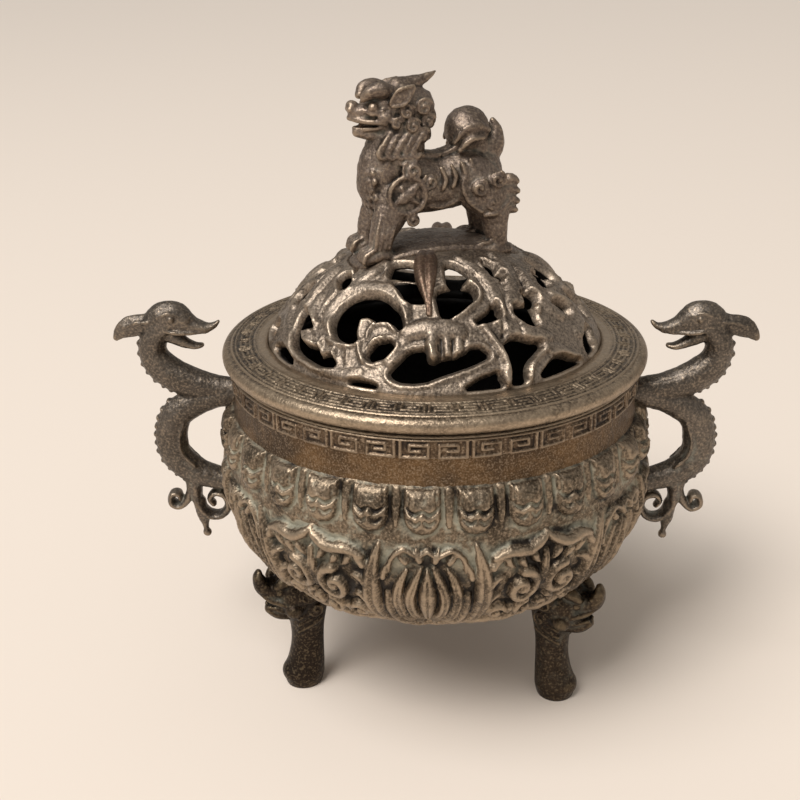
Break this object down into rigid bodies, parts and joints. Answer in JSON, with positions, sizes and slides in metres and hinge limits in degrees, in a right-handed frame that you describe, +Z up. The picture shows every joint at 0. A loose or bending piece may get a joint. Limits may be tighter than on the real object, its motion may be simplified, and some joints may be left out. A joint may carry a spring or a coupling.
{
  "type": "incense burner",
  "caption": "Tripod bronze incense burner: round bowl on beast-mask legs, bird-headed scroll handles, lift-off lid with pierced scroll dome and a guardian lion finial, loose ash dish inside.",
  "frame": {"origin": "on the table plane, at the bowl's vertical axis", "axes": "+Z up along the bowl's axis, +X to the right through the handles, +Y away from the front"},
  "size_m": [0.1162, 0.0788, 0.1122],
  "materials": {
    "bowl_bronze": "aged brown cast bronze with grey-green patina in the relief",
    "leg_bronze": "dark brown cast bronze",
    "handle_bronze": "aged brown cast bronze, worn on the high parts",
    "lid_bronze": "aged brown cast bronze, rubbed brighter on the rim",
    "lion_bronze": "aged brown cast bronze",
    "plain_brass": "dull brass"
  },
  "bodies": {
    "vessel": {"bowl": "bowl_bronze", "leg_left": "leg_bronze", "leg_right": "leg_bronze", "leg_rear": "leg_bronze", "handle_left": "handle_bronze", "handle_right": "handle_bronze"},
    "lid": {"lid_rim": "lid_bronze", "lid_dome": "lid_bronze", "lion": "lion_bronze", "finial_nut": "plain_brass"},
    "dish": {"ash_dish": "plain_brass"}
  },
  "joints": [
    {"name": "lid_lift", "type": "slide", "parent": "vessel", "child": "lid", "axis": [0, 0, 1], "range_m": [0, 0.06]},
    {"name": "dish_lift", "type": "slide", "parent": "vessel", "child": "dish", "axis": [0, 0, 1], "range_m": [0, 0.034]}
  ]
}
